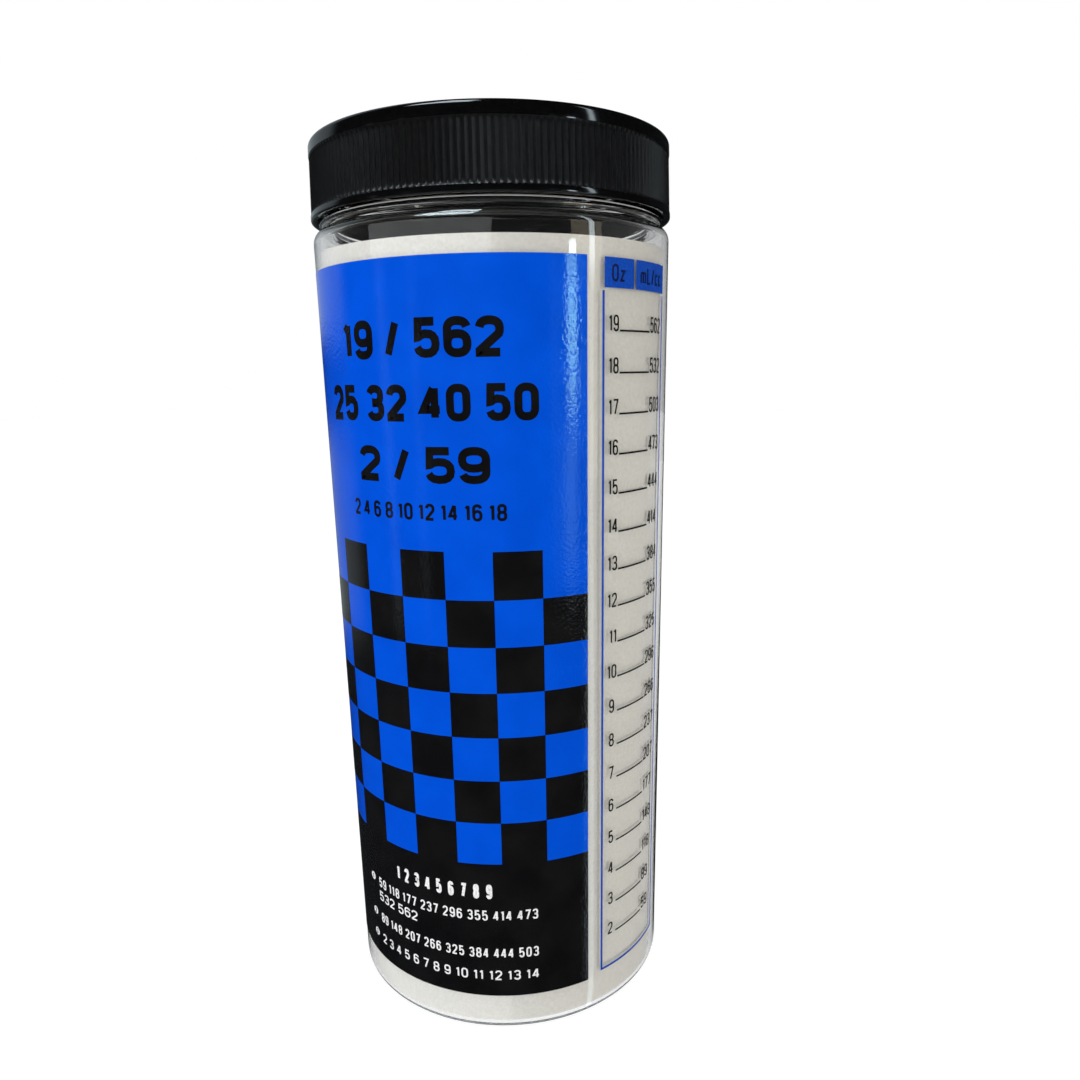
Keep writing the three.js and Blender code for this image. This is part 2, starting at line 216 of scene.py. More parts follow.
# Light. Each of the room's lights: azimuth, half width and softness, then low, high and softness
# of its height in degrees, and its strength as seen in gloss.
WORLD_LIGHT = 0.68
ROOM_DARK = 0.015
ROOM_TINT = (0.8, 0.93, 1.0, 1)
THROUGH_PLASTIC_HEIGHTS = (0.1, 0.5)
THROUGH_PLASTIC_LEVELS = (0.65, 0.1)
THROUGH_PLASTIC_DEPTHS = (-0.3, 0.1)
THROUGH_PLASTIC_SHARES = (0.35, 1)
FLOOR_GLOW = 1.15
FLOOR_SHADOW = 0.25
FLOOR_REACH = 3.0
FLOOR_COLOUR = (0.9, 0.9, 0.9, 1)
FLOOR_ROUGHNESS = 0.9
FLOOR_SHINE = 0.1
LAMP_TARGET = (0, 0, 0.09)
ROOM_LIGHTS = [
    (-112, 27, 6, 2.5, 60, 1.5, 0.5),
    (-112, 27, 8, -16, -3.5, 2, 0.26),
    (-50, 2.5, 1.5, -16, 8, 3, 0.5),
    (-27, 1.5, 1, -16, 8, 3, 0.4),
    (-11.5, 23, 0.5, 42, 58, 0.5, 17),
    (-11.5, 23, 0.5, 63, 76, 0.5, 17),
    (0, 200, 5, -100, -50, 5, 0.5),
    (62, 2, 1, -14, 9, 2, 0.4),
    (73.6, 2.4, 0.4, -1.5, 8.2, 0.8, 17),
    (72, 5, 1, -13, -3.5, 1.5, 1.7),
    (88, 2.0, 0.6, 6, 40, 1.5, 8),
    (87, 2.4, 0.8, -60, 6, 2, 3.0),
]

# Lamps: name, place, size, power, colour, and whether clear plastic shows them
LAMPS = [
    ("front", (-0.3, -1.0, 0.42), (1.8, 0.84), 7.2, (0.98, 0.99, 1.0), True),
    ("side", (1.0, -0.1, 0.25), (0.4, 0.6), 1.0, (1.0, 0.86, 0.62), True),
    ("back", (0.3, 1.1, 0.4), (0.9, 0.8), 3.2, (1.0, 1.0, 1.0), False),
]

# Fineness of round forms
BOTTLE_COLUMNS = 288
COLUMNS_PER_RIB = 6
SHEET_COLUMNS = 360
SHEET_ROWS = 25
THREAD_ROW = 0.2
CAP_THREAD_ROW = 0.25
WALL_ROWS = 24
INNER_WALL_ROWS = 12
RIB_ROWS = 8
ARC_STEPS = 10
DOME_STEPS = 16
BEAD_STEPS = 8
LIP_STEPS = 4
CAP_EDGE_STEPS = 12
CAP_RIM_STEPS = 5
BOWL_STEPS = 14
LOOP_STEPS = 24
BEND_DEGREES = 1.0
SMOOTH_DEGREES = 35.0
PRINT_SMOOTH_DEGREES = 30

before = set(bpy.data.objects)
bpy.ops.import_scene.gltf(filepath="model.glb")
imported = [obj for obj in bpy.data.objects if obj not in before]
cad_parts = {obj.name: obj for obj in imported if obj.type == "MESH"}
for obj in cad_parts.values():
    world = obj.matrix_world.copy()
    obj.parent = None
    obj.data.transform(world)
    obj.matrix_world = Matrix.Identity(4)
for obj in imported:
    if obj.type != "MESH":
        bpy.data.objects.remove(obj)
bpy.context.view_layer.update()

bottle_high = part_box("bottle")[1]
cap_low, cap_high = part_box("cap")
label_low, label_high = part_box("front_label")
BOTTLE_RADIUS = bottle_high.x / MM
LIP_HEIGHT = bottle_high.z / MM
SHOULDER_HEIGHT = LIP_HEIGHT - NECK_HEIGHT
CAP_RADIUS = cap_high.x / MM
CAP_BOTTOM = cap_low.z / MM
CAP_TOP_HEIGHT = cap_high.z / MM
RIBS_BOTTOM = CAP_BOTTOM + LOWER_BAND
RIBS_TOP = CAP_TOP_HEIGHT - TOP_BAND
CAP_BORE = NECK_RADIUS + THREAD_DEPTH + CAP_THREAD_CLEARANCE
FILM_RADIUS = BOTTLE_RADIUS + FILM_GAP
LABEL_FACE = FILM_RADIUS + FILM_THICKNESS


def on_wall(radius, angle, height):
    """A point in metres from millimetres; the angle is 0 at -Y and grows towards +X."""
    return (radius * math.sin(angle) * MM, -radius * math.cos(angle) * MM, height * MM)


def wall_angle(distance):
    return distance / BOTTLE_RADIUS


def add_mesh(name, points, faces, materials, body, smooth_degrees=SMOOTH_DEGREES):
    mesh = bpy.data.meshes.new(name)
    mesh.from_pydata([tuple(p) for p in points], [], faces)
    mesh.validate()
    for material in materials:
        mesh.materials.append(material)
    mesh.shade_smooth()
    mesh.set_sharp_from_angle(angle=math.radians(smooth_degrees))
    piece = bpy.data.objects.new(name, mesh)
    bpy.context.scene.collection.objects.link(piece)
    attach(piece, body)
    return piece


def arc(centre_r, centre_z, radius, start, end, steps=ARC_STEPS):
    """Profile points on an arc; angles in degrees, 0 pointing outwards and 90 up."""
    turns = np.radians(np.linspace(start, end, steps + 1))
    return [(centre_r + radius * math.cos(t), centre_z + radius * math.sin(t)) for t in turns]


def thread_height(turn_angle, height, start_turn, turns, top, outward):
    """How far a screw thread stands out of its wall at an angle and height, in millimetres."""
    deepest = 0.0
    first = -turn_angle / (2 * math.pi)
    for lap in range(math.floor(start_turn - first), math.ceil(start_turn + turns - first) + 1):
        turn = first + lap
        if not start_turn <= turn <= start_turn + turns:
            continue
        fade = min(1.0, (turn - start_turn) / THREAD_FADE_TURNS)
        fade = min(fade, (start_turn + turns - turn) / THREAD_FADE_TURNS)
        off = abs(height - (top - THREAD_PITCH * turn))
        flank = (THREAD_ROOT_WIDTH / 2 - off) / ((THREAD_ROOT_WIDTH - THREAD_CREST_WIDTH) / 2)
        rise = min(1.0, max(0.0, flank))
        deepest = max(deepest, THREAD_DEPTH * fade * rise * rise * (3 - 2 * rise))
    return deepest * outward


def revolve(name, profile, columns, materials, body, stand_out=None, slots=None):
    """A closed solid of revolution whose profile starts and ends on the axis."""
    points = []
    for k, (radius, height) in enumerate(profile[1:-1]):
        for i in range(columns):
            angle = 2 * math.pi * i / columns
            extra = stand_out(k, angle, height) if stand_out else 0.0
            points.append(on_wall(radius + extra, angle, height))
    rows = len(profile) - 2
    faces = []
    face_slots = []
    for k in range(rows - 1):
        for i in range(columns):
            j = (i + 1) % columns
            a, b = k * columns + i, k * columns + j
            faces.append((a, b, b + columns, a + columns))
            face_slots.append(slots[k] if slots else 0)
    first, last = len(points), len(points) + 1
    points.append(on_wall(0, 0, profile[0][1]))
    points.append(on_wall(0, 0, profile[-1][1]))
    top = (rows - 1) * columns
    for i in range(columns):
        j = (i + 1) % columns
        faces.append((first, j, i))
        faces.append((last, top + i, top + j))
        face_slots += [0, slots[-1] if slots else 0]
    piece = add_mesh(name, points, faces, materials, body)
    piece.data.polygons.foreach_set("material_index", face_slots)
    return piece


# Materials


def new_material(name):
    material = bpy.data.materials.new(name)
    material.use_nodes = True
    nodes, links = material.node_tree.nodes, material.node_tree.links
    return material, nodes, links, nodes["Principled BSDF"]


def noise_node(nodes, links, scale, detail=3.0, stretch=(1, 1, 1)):
    coordinates = nodes.new("ShaderNodeTexCoord")
    mapping = nodes.new("ShaderNodeMapping")
    mapping.inputs["Scale"].default_value = stretch
    noise = nodes.new("ShaderNodeTexNoise")
    noise.inputs["Scale"].default_value = scale
    noise.inputs["Detail"].default_value = detail
    links.new(coordinates.outputs["Object"], mapping.inputs["Vector"])
    links.new(mapping.outputs["Vector"], noise.inputs["Vector"])
    return noise


def bump_from(nodes, links, noise, depth, strength, shader):
    bump = nodes.new("ShaderNodeBump")
    bump.inputs["Distance"].default_value = depth
    bump.inputs["Strength"].default_value = strength
    links.new(noise.outputs["Fac"], bump.inputs["Height"])
    links.new(bump.outputs["Normal"], shader.inputs["Normal"])


def colour_from(nodes, links, noise, stops, shader):
    """Colours a shader by a noise, from (position, colour) stops."""
    node = nodes.new("ShaderNodeValToRGB")
    elements = node.color_ramp.elements
    for element, (position, colour) in zip(elements, stops):
        element.position = position
        element.color = (*colour, 1.0)
    links.new(noise.outputs["Fac"], node.inputs["Fac"])
    links.new(node.outputs["Color"], shader.inputs["Base Color"])


def vary_roughness(nodes, links, shader, noise, low, high):
    spread = nodes.new("ShaderNodeMapRange")
    spread.inputs["To Min"].default_value = low
    spread.inputs["To Max"].default_value = high
    links.new(noise.outputs["Fac"], spread.inputs["Value"])
    links.new(spread.outputs["Result"], shader.inputs["Roughness"])


def mix_shaders(nodes, links, share, first, second):
    """The output of two shaders mixed; the share of the second is a number or another node's output."""
    mix = nodes.new("ShaderNodeMixShader")
    if isinstance(share, float):
        mix.inputs["Fac"].default_value = share
    else:
        links.new(share, mix.inputs["Fac"])
    links.new(first, mix.inputs[1])
    links.new(second, mix.inputs[2])
    return mix.outputs["Shader"]


def clear_plastic():
    """Blow-moulded clear plastic: smooth outside, with the faint waves that blowing leaves."""
    material, nodes, links, shader = new_material("clear_plastic")
    shader.inputs["Base Color"].default_value = CLEAR_COLOUR
    shader.inputs["Transmission Weight"].default_value = 1.0
    shader.inputs["IOR"].default_value = CLEAR_BENDING
    shader.inputs["Roughness"].default_value = CLEAR_ROUGHNESS
    waves = noise_node(nodes, links, CLEAR_WAVES, 1.0, CLEAR_WAVES_STRETCH)
    bump_from(nodes, links, waves, *CLEAR_BUMP, shader)
    path = nodes.new("ShaderNodeLightPath")
    clear = nodes.new("ShaderNodeBsdfTransparent")
    clear.inputs["Color"].default_value = CLEAR_SHADOW
    in_shadow = path.outputs["Is Shadow Ray"]
    mixed = mix_shaders(nodes, links, in_shadow, shader.outputs["BSDF"], clear.outputs["BSDF"])
    links.new(mixed, nodes["Material Output"].inputs["Surface"])
    return material


def black_plastic(name, low, high, grain, dark, shine):
    """Moulded black plastic; low and high are the ends of its roughness."""
    material, nodes, links, shader = new_material(name)
    noise = noise_node(nodes, links, CAP_GRAIN)
    light = tuple(CAP_GRAIN_LIGHTER * c for c in dark)
    colour_from(nodes, links, noise, [(0.3, dark), (0.7, light)], shader)
    shader.inputs["Specular IOR Level"].default_value = shine
    vary_roughness(nodes, links, shader, noise_node(nodes, links, CAP_SHEEN), low, high)
    bump_from(nodes, links, noise, CAP_GRAIN_DEPTH, grain, shader)
    return material


def glossy_print(name, dark, light, tint):
    """Printed film: even colour under gloss, with slight orange peel."""
    material, nodes, links, shader = new_material(name)
    tone = noise_node(nodes, links, LABEL_TONES)
    colour_from(nodes, links, tone, [(0.35, dark), (0.65, light)], shader)
    shader.inputs["Specular IOR Level"].default_value = LABEL_SHINE
    shader.inputs["Specular Tint"].default_value = tint
    bump_from(nodes, links, noise_node(nodes, links, LABEL_PEEL, 2.0), *LABEL_BUMP, shader)
    vary_roughness(nodes, links, shader, tone, *LABEL_ROUGHNESS)
    return material


def ink(name, colour, roughness):
    """Ink with a fine grain, where it lies a little thinner."""
    material, nodes, links, shader = new_material(name)
    thin = tuple(min(1.0, c * 1.5 + 0.004) for c in colour)
    noise = noise_node(nodes, links, INK_GRAIN)
    colour_from(nodes, links, noise, [(0.35, colour), (0.75, thin)], shader)
    shader.inputs["Roughness"].default_value = roughness
    shader.inputs["Specular IOR Level"].default_value = INK_SHINE
    return material


def matt_sheet(name, fineness, detail, tones, roughness, bump):
    """Paper with a cloudy fibre structure, or foam with fine cells."""
    material, nodes, links, shader = new_material(name)
    grain = noise_node(nodes, links, fineness, detail)
    colour_from(nodes, links, grain, tones, shader)
    shader.inputs["Roughness"].default_value = roughness
    shader.inputs["Specular IOR Level"].default_value = SHEET_SHINE
    bump_from(nodes, links, grain, *bump, shader)
    return material


CLEAR = clear_plastic()
FOAM = matt_sheet("liner_foam", *FOAM_LOOK)
CAP_GLOSS = black_plastic("cap_gloss", *CAP_GLOSS_LOOK)
CAP_SATIN = black_plastic("cap_satin", *CAP_SATIN_LOOK)
LABEL_BLUE = glossy_print("label_blue", *LABEL_BLUE_LOOK)
LABEL_BLACK = glossy_print("label_black", *LABEL_BLACK_LOOK)
INK_BLACK = ink("ink_black", *INK_BLACK_LOOK)
INK_BLUE = ink("ink_blue", *INK_BLUE_LOOK)
INK_NAVY = ink("ink_navy", *INK_NAVY_LOOK)
INK_WHITE = ink("ink_white", *INK_WHITE_LOOK)
PAPER = matt_sheet("white_paper", *PAPER_LOOK)


# Bottle


def bottle_profile():
    """The bottle's section and the rows of points from and up to which the thread stands out."""
    ring = BOTTLE_RADIUS - HEEL_RADIUS - RESTING_RING_WIDTH
    dome = (ring**2 + PUSH_UP_HEIGHT**2) / (2 * PUSH_UP_HEIGHT)
    tilt = math.degrees(math.asin(ring / dome))
    inner = BOTTLE_RADIUS - WALL
    inner_arc = SHOULDER_RADIUS - WALL
    bead = SHOULDER_HEIGHT + BEAD_START
    bead_round = BEAD_WIDTH / 2
    bore = NECK_RADIUS - NECK_WALL
    dome_centre = PUSH_UP_HEIGHT - dome
    outline = arc(0, dome_centre, dome, 90, 90 - tilt, DOME_STEPS)
    outline += arc(BOTTLE_RADIUS - HEEL_RADIUS, HEEL_RADIUS, HEEL_RADIUS, -90, 0)
    straight = (WALL_END, SHOULDER_HEIGHT - WALL_END)
    outline += [(BOTTLE_RADIUS, z) for z in np.linspace(*straight, WALL_ROWS)]
    shoulder = SHOULDER_HEIGHT - SHOULDER_RADIUS
    outline += arc(BOTTLE_RADIUS - SHOULDER_RADIUS, shoulder, SHOULDER_RADIUS, 0, 90)
    outline += [(NECK_RADIUS, SHOULDER_HEIGHT), (NECK_RADIUS, bead)]
    bead_centre = (NECK_RADIUS + BEAD_REACH - bead_round, bead + bead_round)
    outline += arc(*bead_centre, bead_round, -90, 90, BEAD_STEPS)
    bead_end = bead + BEAD_WIDTH
    outline += [(NECK_RADIUS, bead_end)]
    threaded = len(outline)
    thread_rows = np.arange(bead_end + THREAD_ROW, LIP_HEIGHT - LIP_ROUND - THREAD_ROW / 2, THREAD_ROW)
    outline += [(NECK_RADIUS, z) for z in thread_rows]
    threaded_end = len(outline)
    lip = LIP_HEIGHT - LIP_ROUND
    outline += arc(NECK_RADIUS - LIP_ROUND, lip, LIP_ROUND, 0, 90, LIP_STEPS)
    outline += arc(bore + LIP_ROUND, lip, LIP_ROUND, 90, 180, LIP_STEPS)
    under = SHOULDER_HEIGHT - WALL
    outline += [(bore, under + BORE_BEVEL), (bore + BORE_BEVEL, under)]
    outline += arc(inner - inner_arc, under - inner_arc, inner_arc, 90, 0)
    outline += [(inner, z) for z in np.linspace(*straight[::-1], INNER_WALL_ROWS)]
    outline += arc(inner - INNER_HEEL_RADIUS, FLOOR + INNER_HEEL_RADIUS, INNER_HEEL_RADIUS, 0, -90)
    outline += arc(0, dome_centre + FLOOR, dome, 90 - tilt, 90, DOME_STEPS)
    return outline, threaded, threaded_end


def make_bottle():
    outline, start, end = bottle_profile()

    def stand_out(k, angle, height):
        if not start <= k + 1 < end:
            return 0.0
        top = LIP_HEIGHT - NECK_THREAD_DROP
        return thread_height(angle, height, 0, NECK_THREAD_TURNS, top, 1)

    piece = revolve("clear_bottle", outline, BOTTLE_COLUMNS, [CLEAR], "bottle", stand_out)
    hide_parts("bottle")


# Cap


def cap_profile():
    """The cap's section with the rows of points between which the ribs and the thread lie."""
    crest = CAP_RADIUS - RIB_SINK
    height = CAP_TOP_HEIGHT - CAP_BOTTOM
    edge = CAP_TOP_HEIGHT - CAP_EDGE_RADIUS
    band = [(CAP_RADIUS - sink, rise) for sink, rise in BAND_EDGE] + [(crest, 0)]
    side = arc(CAP_RADIUS - CAP_EDGE_RADIUS, edge, CAP_EDGE_RADIUS, 90, 0, CAP_EDGE_STEPS)
    side += [(r, RIBS_TOP + rise) for r, rise in band]
    ribs = 2 + len(side)
    side += [(crest, RIBS_TOP - step * RIB_END) for step in RIB_END_ROWS]
    middle = (RIBS_TOP - RIB_ROWS_INSET, RIBS_BOTTOM + RIB_ROWS_INSET)
    side += [(crest, z) for z in np.linspace(*middle, RIB_ROWS)]
    side += [(crest, RIBS_BOTTOM + step * RIB_END) for step in RIB_END_ROWS[::-1]]
    ribs_end = 2 + len(side)
    side += [(r, RIBS_BOTTOM - rise) for r, rise in band[::-1]]
    rim = (CAP_RADIUS - CAP_RIM_RADIUS, CAP_BOTTOM + CAP_RIM_RADIUS)
    side += arc(*rim, CAP_RIM_RADIUS, 0, -90, CAP_RIM_STEPS)
    outline = [(0, CAP_TOP_HEIGHT), (CAP_TOP_RING, CAP_TOP_HEIGHT)]
    outline += [(r - CAP_DRAFT * (z - CAP_BOTTOM) / height, z) for r, z in side]
    outline += [(CAP_BORE + CAP_BORE_BEVEL, CAP_BOTTOM), (CAP_BORE, CAP_BOTTOM + CAP_BORE_BEVEL)]
    thread = len(outline)
    low, high = CAP_BOTTOM + CAP_THREAD_START, CAP_BOTTOM + CAP_THREAD_REACH
    outline += [(CAP_BORE, z) for z in np.arange(low, high, CAP_THREAD_ROW)]
    thread_end = len(outline)
    outline += [(CAP_BORE, CAP_TOP_HEIGHT - CAP_TOP), (0, CAP_TOP_HEIGHT - CAP_TOP)]
    return outline, (ribs, ribs_end), (thread, thread_end)


def make_cap():
    outline, (ribs, ribs_end), (thread, thread_end) = cap_profile()
    rows = len(outline) - 2

    def stand_out(k, angle, height):
        row = rows - k
        if ribs <= row < ribs_end:
            near_end = min(RIBS_TOP - height, height - RIBS_BOTTOM)
            fade = min(1.0, near_end / RIB_END)
            wave = 0.5 - 0.5 * math.cos(RIB_COUNT * angle)
            return -RIB_DEPTH * fade * wave**RIB_FLATNESS
        if thread <= row < thread_end:
            top = LIP_HEIGHT - NECK_THREAD_DROP - THREAD_PITCH / 2
            return thread_height(angle, height, CAP_THREAD_DELAY_TURNS, CAP_THREAD_TURNS, top, -1)
        return 0.0

    slots = [int(ribs - 1 <= rows - k < ribs_end) for k in range(rows)]
    columns = RIB_COUNT * COLUMNS_PER_RIB
    plastics = [CAP_GLOSS, CAP_SATIN]
    piece = revolve("black_cap", outline[::-1], columns, plastics, "cap", stand_out, slots)
    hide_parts("cap")


make_bottle()
make_cap()


# Print drawn with strokes: numbers and signs of units on lines of even width


def bowl(centre_x, centre_y, reach_x, reach_y, start, end, steps=BOWL_STEPS):
    """Points on a slightly squared ellipse, between two angles in degrees."""
    points = []
    for turn in np.radians(np.linspace(start, end, steps)):
        c, s = math.cos(turn), math.sin(turn)
        x = math.copysign(abs(c) ** BOWL_SQUARE, c)
        y = math.copysign(abs(s) ** BOWL_SQUARE, s)
        points.append((centre_x + reach_x * x, centre_y + reach_y * y))
    return points


def half_turn(lines, width, height):
    """The same lines turned upside down."""
    return [[(width - x, height - y) for x, y in line] for line in lines]


def round_digit(sign, w, h):
    """Centre lines of a digit that has bowls."""
    r = w / 2
    if sign == "0":
        end = h * 0.3
        upper = bowl(r, h - end, r, end, 180, 0)
        return [upper + bowl(r, end, r, end, 0, -180) + [(0, h - end)]]
    if sign == "2":
        return [bowl(r, h * 0.73, r, h * 0.27, 172, -28) + [(0, h * 0.06), (0, 0), (w, 0)]]
    if sign == "3":
        upper = bowl(r, h * 0.755, r * 0.94, h * 0.245, 165, -90)
        return [upper + bowl(r, h * 0.26, r, h * 0.26, 90, -165)]
    if sign == "5":
        flag = [(w * 0.94, h), (w * 0.08, h), (w * 0.05, h * 0.52)]
        return [flag + bowl(r, h * 0.31, r, h * 0.31, 140, -165)]
    if sign == "8":
        upper = bowl(r, h * 0.755, r * 0.92, h * 0.245, -90, 270, LOOP_STEPS)
        return [upper, bowl(r, h * 0.26, r, h * 0.26, 90, 450, LOOP_STEPS)]
    side = bowl(r, h * 0.72, r, h * 0.28, 15, 180)
    six = [side + [(0, h * 0.3)], bowl(r, h * 0.3, r, h * 0.3, 180, -180, LOOP_STEPS)]
    return six if sign == "6" else half_turn(six, w, h)


def sign_lines(sign, w, h):
    """Centre lines of one sign in a box of width w and height h, as open or closed runs of points."""
    if sign in STRAIGHT_SIGNS:
        return [[(w * x, h * y) for x, y in line] for line in STRAIGHT_SIGNS[sign]]
    r = w / 2
    if sign == "c":
        return [bowl(r, h / 2, r, h / 2, 40, 320, 20)]
    if sign == "m":
        arches = []
        for start in (0, r):
            top = bowl(start + r / 2, h - r / 2, r / 2, r / 2, 180, 0, 8)
            arches.append([(start, 0)] + top + [(start + r, 0)])
        return arches
    return round_digit("0" if sign == "O" else sign, w, h)


def closed_line(line):
    return math.dist(line[0], line[-1]) < 1e-6


def even_steps(line, longest):
    """The same line with no stretch between points longer than a given length."""
    points = [line[0]]
    for a, b in zip(line, line[1:]):
        count = max(1, math.ceil(math.dist(a, b) / longest))
        for k in range(1, count + 1):
            points.append((a[0] + (b[0] - a[0]) * k / count, a[1] + (b[1] - a[1]) * k / count))
    return points


def stroke_sides(line, weight):
    """Points to the left and right of a line, at half its weight, with mitred corners."""
    closed = closed_line(line)
    points = [np.array(p) for p in (line[:-1] if closed else line)]
    count = len(points)
    sides = []
    for i, point in enumerate(points):
        before = points[i - 1] if i or closed else None
        after = points[(i + 1) % count] if i + 1 < count or closed else None
        into = point - before if before is not None else after - point
        out = after - point if after is not None else into
        into, out = into / np.linalg.norm(into), out / np.linalg.norm(out)
        mean = into + out
        mean = mean / max(np.linalg.norm(mean), 1e-6)
        across = np.array([-mean[1], mean[0]])
        reach = weight / 2 / max(MITRE_LIMIT, abs(mean @ into))
        sides.append((point + across * reach, point - across * reach))
    return sides, closed


class Print:
    """Gathers strokes and discs on the wall and makes one thin closed mesh of them."""

    def __init__(self, radius, thickness):
        self.radius, self.thickness = radius, thickness
        self.points, self.faces = [], []

    def place(self, x, z, top):
        radius = self.radius + (self.thickness if top else 0)
        self.points.append(on_wall(radius, wall_angle(x), z))
        return len(self.points) - 1

    def stroke(self, line, weight):
        sides, closed = stroke_sides(even_steps(line, LONGEST_FLAT), weight)
        rings = []
        for left, right in sides:
            corners = ((left, 0), (right, 0), (right, 1), (left, 1))
            rings.append([self.place(*spot, top) for spot, top in corners])
        pairs = list(zip(rings, rings[1:] + (rings[:1] if closed else [])))
        for a, b in pairs:
            for j in range(4):
                self.faces.append((a[j], a[(j + 1) % 4], b[(j + 1) % 4], b[j]))
        if not closed:
            self.faces += [tuple(rings[0][::-1]), tuple(rings[-1])]

    def disc(self, x, z, radius, steps=LOOP_STEPS):
        low, high = [], []
        for k in range(steps):
            turn = 2 * math.pi * k / steps
            spot = (x + radius * math.cos(turn), z + radius * math.sin(turn))
            low.append(self.place(*spot, 0))
            high.append(self.place(*spot, 1))
        self.faces += [tuple(high), tuple(low[::-1])]
        for k in range(steps):
            j = (k + 1) % steps
            self.faces.append((low[k], low[j], high[j], high[k]))

    def row(self, text, left, width, base, height, weight, spacing=SIGN_SPACING):
        """One row of signs that fills a width; the base and height take in the strokes' weight."""
        shares = [SIGN_WIDTHS.get(sign, 1.0) for sign in text]
        gap = spacing * height
        unit = (width - gap * (len(text) - 1)) / sum(shares)
        x = left
        for sign, share in zip(text, shares):
            box_w, box_h = unit * share - weight, height * SIGN_HEIGHTS.get(sign, 1.0) - weight
            for line in sign_lines(sign, box_w, box_h):
                self.stroke([(x + weight / 2 + a, base + weight / 2 + b) for a, b in line], weight)
            x += unit * share + gap

    def make(self, name, material):
        piece = add_mesh(name, self.points, self.faces, [material], "bottle", PRINT_SMOOTH_DEGREES)
        return piece


# Sheet, label and print


def make_sheet():
    """The rolled white sheet: it lies against the wall, and its end bends in behind its start."""
    low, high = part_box("paper_insert")
    outer = -low.y / MM
    sweep = 2 * math.pi + SHEET_LAP / outer
    heights = np.linspace(low.z / MM, high.z / MM, SHEET_ROWS)
    points = []
    for i in range(SHEET_COLUMNS + 1):
        along = sweep * i / SHEET_COLUMNS
        bend = (along / (2 * math.pi) - 1 + SHEET_INSET_SHARE) / SHEET_INSET_SHARE
        bend = min(1.0, max(0.0, bend))
        radius = outer - (SHEET_THICKNESS + SHEET_LAP_GAP) * bend * bend * (3 - 2 * bend)
        angle = math.pi + along
        points += [on_wall(radius, angle, z) for z in heights]
        points += [on_wall(radius - SHEET_THICKNESS, angle, z) for z in heights[::-1]]
    ring = 2 * len(heights)
    faces = []
    for i in range(SHEET_COLUMNS):
        for j in range(ring):
            a, b = i * ring + j, i * ring + (j + 1) % ring
            faces.append((a, a + ring, b + ring, b))
    half = len(heights)
    last = SHEET_COLUMNS * ring
    for j in range(half - 1):
        faces.append((j, j + 1, ring - 2 - j, ring - 1 - j))
        faces.append((last + j + 1, last + j, last + ring - 1 - j, last + ring - 2 - j))
    piece = add_mesh("white_sheet", points, faces, [PAPER], "bottle")
    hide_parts("paper_insert")


def span(node):
    """The angles of a thin node's ends on the wall."""
    angles = [math.atan2(v.co.x, -v.co.y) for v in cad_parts[node].data.vertices]
    return min(angles), max(angles)


def grid_lines(rectangles):
    """The angles and heights at which a layer's faces meet, close enough to follow the wall."""
    edges = sorted({e for r in rectangles for e in r[:2]})
    columns = [edges[0]]
    for a, b in zip(edges, edges[1:]):
        count = max(1, math.ceil((b - a) / math.radians(BEND_DEGREES)))
        columns += [a + (b - a) * k / count for k in range(1, count + 1)]
    return columns, sorted({e for r in rectangles for e in r[2:]})


def layer(name, rectangles, radius, thickness, material, node):
    """A thin layer on the wall over rectangles of left and right angle, low and high height."""
    columns, rows = grid_lines(rectangles)

    def covered(i, j):
        if not (0 <= i < len(columns) - 1 and 0 <= j < len(rows) - 1):
            return False
        x, z = (columns[i] + columns[i + 1]) / 2, (rows[j] + rows[j + 1]) / 2
        return any(r[0] < x < r[1] and r[2] < z < r[3] for r in rectangles)

    points, found, faces = [], {}, []

    def corner(i, j, outer):
        key = (i, j, outer)
        if key not in found:
            found[key] = len(points)
            points.append(on_wall(radius + (thickness if outer else 0), columns[i], rows[j]))
        return found[key]

    for i in range(len(columns) - 1):
        for j in range(len(rows) - 1):
            if not covered(i, j):
                continue
            spots = ((i, j), (i + 1, j), (i + 1, j + 1), (i, j + 1))
            a, b, c, d = (corner(*spot, 0) for spot in spots)
            e, f, g, h = (corner(*spot, 1) for spot in spots)
            faces += [(e, f, g, h), (a, d, c, b)]
            if not covered(i, j - 1):
                faces.append((a, b, f, e))
            if not covered(i, j + 1):
                faces.append((d, h, g, c))
            if not covered(i - 1, j):
                faces.append((a, e, h, d))
            if not covered(i + 1, j):
                faces.append((b, c, g, f))
    piece = add_mesh(name, points, faces, [material], "bottle")
    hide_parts(node)


def make_label():
    left, right = span("front_label")
    low, high = label_low.z / MM, label_high.z / MM
    film = [(left, right, low, high)]
    layer("label_film", film, FILM_RADIUS, FILM_THICKNESS, LABEL_BLUE, "front_label")
    field_top = low + BLACK_FIELD_HEIGHT
    check = (right - left) / CHECKS_ACROSS
    check_height = (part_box("label_black_print")[1].z / MM - field_top) / CHECKS_DOWN
    squares = [(left, right, low, field_top)]
    for row in range(CHECKS_DOWN):
        for column in range(CHECKS_ACROSS):
            if (row + column) % 2:
                a, z = left + column * check, field_top + row * check_height
                start, end = max(left, a - CHECK_JOIN), min(right, a + check + CHECK_JOIN)
                squares.append((start, end, z, z + check_height))
    layer("label_black", squares, LABEL_FACE, LABEL_INK, LABEL_BLACK, "label_black_print")


def outer_field(node):
    """A node's left and right angle with its low and high height, as the one rectangle of a layer."""
    low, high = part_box(node)
    return [(*span(node), low.z / MM, high.z / MM)]


